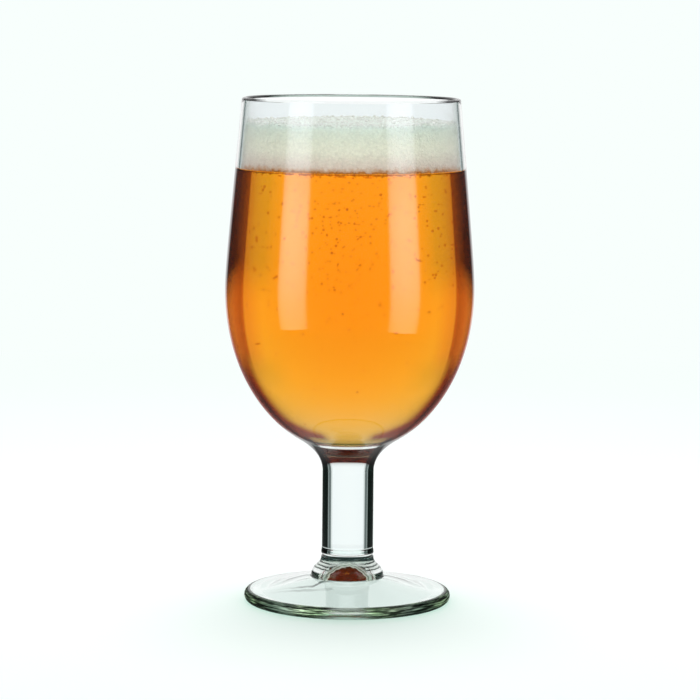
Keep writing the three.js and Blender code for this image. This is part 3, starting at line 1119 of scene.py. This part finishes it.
def dress_world():
    """A white studio. What shows in and through the glass is darker, apart from the backdrop."""
    world = bpy.data.worlds.new("studio")
    scene.world = world
    world.use_nodes = True
    tree = world.node_tree
    tree.nodes.clear()
    path = node(tree, "LightPath").outputs
    x, y, z = node(tree, "SeparateXYZ", {0: node(tree, "TexCoord").outputs["Generated"]}).outputs
    level = round_ramp(tree, x, y, [(0, 1.0), (19, 0.9), (28, 0.07), (180, 0.04)])
    above = round_ramp(tree, x, y, [(40, 1.0), (80, 0.35), (180, 0.2)])
    mirrored = blended(tree, between(tree, z, 0.08, 0.25), level, above)
    low = ramp(tree, z, [(0.25, 1.0), (0.5, 0.08), (1.0, 0.05)], "EASE")
    tall = ramp(tree, z, [(0.1, 1.0), (0.6, 0.72), (0.85, 0.1), (1.0, 0.05)], "EASE")
    backdrop = round_ramp(tree, x, y, [(34, 1.0), (44, 0.0)])
    colour = blended(tree, path["Is Transmission Ray"], WHITE, blended(tree, backdrop, low, tall))
    colour = blended(tree, path["Is Reflection Ray"], colour, mirrored)
    colour = blended(tree, path["Is Diffuse Ray"], colour, CLEAR)
    walls = round_ramp(tree, x, y, [(38, 0.8), (55, 0.07), (100, 0.07), (130, 0.44), (180, 0.48)])
    walls = product(tree, walls, fall(tree, z, 0.45, 0.75, "EASE"))
    sky = product(tree, between(tree, z, -0.6, 1.9), SKY_LIGHT)
    light = sums(tree, "MULTIPLY_ADD", walls, WALL_LIGHT, sky)
    seen = picked(tree, path["Is Transmission Ray"], 1.0, BRIGHT_THROUGH)
    strength = picked(tree, path["Is Diffuse Ray"], seen, light)
    back = node(tree, "Background", {"Color": colour, "Strength": strength}).outputs[0]
    node(tree, "OutputWorld", {"Surface": back})


def glow(tree, colour, strength=1.0):
    return node(tree, "Emission", {"Color": colour, "Strength": strength}).outputs[0]


def white_table(tree):
    """A white table that catches the shadow near the glass; through the glass it shows a painted shadow, and
    in reflections it is painted bright only near the glass and behind it.
    """
    _, (x, y, _) = place_in(tree)
    away = sums(tree, "SQRT", sums(tree, "ADD", product(tree, x, x), product(tree, y, y)))
    near = ramp(tree, away, [
        (0.0, 0.85), (0.036, 0.8), (0.05, 0.55), (0.07, 0.3), (0.1, 0.14), (0.15, 0.08), (0.25, 0.05),
        (1.0, 0.04),
    ])
    behind = round_ramp(tree, x, y, [(0, 1.0), (19, 0.9), (28, 0.0)])
    mirrored = glow(tree, blended(tree, 1.0, near, behind, "LIGHTEN"))
    through = glow(tree, ramp(tree, away, [(0.0, 0.85), (0.04, 0.9), (0.1, 1.0)]), BRIGHT_THROUGH)
    matt = node(tree, "BsdfDiffuse", {"Color": TABLE_COLOUR}).outputs[0]
    faint = glow(tree, tuple(TABLE_GLOW * c for c in WHITE))
    near_by = node(tree, "AddShader", {0: matt, 1: faint}).outputs[0]
    plain = mixed(tree, between(tree, away, 0.3, 0.7), near_by, glow(tree, WHITE))
    path = node(tree, "LightPath").outputs
    passed = sums(tree, "SUBTRACT", path["Is Transmission Ray"], path["Is Diffuse Ray"])
    bounced = sums(tree, "SUBTRACT", path["Is Reflection Ray"], path["Is Diffuse Ray"])
    return mixed(tree, bounced, mixed(tree, passed, plain, through), mirrored)


def flat_piece(name, corners, look):
    """One face with four corners."""
    mesh = bpy.data.meshes.new(name)
    mesh.from_pydata(corners, [], [(0, 1, 2, 3)])
    mesh.materials.append(look)
    return placed(name, mesh)


dress_world()
corners = [(TABLE_REACH * x, TABLE_REACH * y, 0) for x, y in ((-1, -1), (1, -1), (1, 1), (-1, 1))]
floor = flat_piece("table", corners, material("table", white_table))
floor.location.z = -TABLE_DROP

BOX_DISTANCE = 0.22
BOX_TOP = 0.6
BOX_STRENGTH = 5.0


def box_glow(tree):
    """A glow that is seen only in first reflections, and fades to its sides and downwards."""
    _, (_, _, height) = place_in(tree)
    fade = ramp(tree, height, [
        (0.0, (0.51, 0.57, 0.39)), (0.03, (0.545, 0.61, 0.41)), (0.045, (0.58, 0.65, 0.47)),
        (0.08, (0.64, 0.755, 0.58)), (0.12, (0.775, 0.9, 0.79)), (0.145, (0.86, 1.0, 0.92)),
        (0.17, (0.65, 0.66, 0.74)),
    ])
    across = node(tree, "SeparateXYZ", {0: node(tree, "TexCoord").outputs["Generated"]}).outputs[0]
    sides = ramp(tree, across, [
        (0.0, 0.0), (0.06, 0.12), (0.11, 0.45), (0.17, 0.72), (0.27, 0.92), (0.45, 1.0), (0.62, 0.97),
        (0.78, 0.85), (0.84, 0.68), (0.89, 0.36), (0.95, 0.12), (1.0, 0.0),
    ])
    path = node(tree, "LightPath").outputs
    first = sums(tree, "LESS_THAN", path["Ray Depth"], 1.5)
    shown = product(tree, path["Is Reflection Ray"], first, between(tree, sides, 0.0, 0.5))
    lit = glow(tree, fade, product(tree, sides, BOX_STRENGTH))
    return mixed(tree, shown, see_through(tree), lit)


def soft_box(name, azimuth, width, low):
    """A tall panel that faces the glass, at so many degrees to the right of the camera."""
    a = math.radians(azimuth)
    corners = []
    for s, z in ((-1, low), (1, low), (1, BOX_TOP), (-1, BOX_TOP)):
        x = BOX_DISTANCE * math.sin(a) + s * width / 2 * math.cos(a)
        y = -BOX_DISTANCE * math.cos(a) + s * width / 2 * math.sin(a)
        corners.append((x, y, z))
    panel = flat_piece(name, corners, material(name, box_glow))
    panel.visible_camera = panel.visible_diffuse = panel.visible_transmission = panel.visible_shadow = False


soft_box("soft_box_left", -49.5, 0.132, 0.026)
soft_box("soft_box_right", 48.0, 0.139, 0.02)

lamp = bpy.data.lights.new("overhead", "AREA")
lamp.shape = "DISK"
lamp.size = 0.35
lamp.energy = 2.3
lamp.color = (1.0, 0.86, 0.93)
lamp.cycles.use_multiple_importance_sampling = False
overhead = placed("overhead", lamp)
overhead.location = (0, 0.153, 0.785)
overhead.rotation_euler = (math.radians(-11), 0, 0)

CAMERA_PITCH = 6.71  # degrees below level
CAMERA_ROLL = 0.52

lens = bpy.data.cameras.new("camera")
lens.sensor_width = 36
lens.lens = 153.9
lens.clip_start = 0.01
camera = placed("camera", lens)
camera.location = (0.00026, -0.97, 0.197)
camera.rotation_euler = (math.radians(90 - CAMERA_PITCH), 0, 0)
camera.rotation_euler.rotate_axis("Z", math.radians(CAMERA_ROLL))
scene.camera = camera
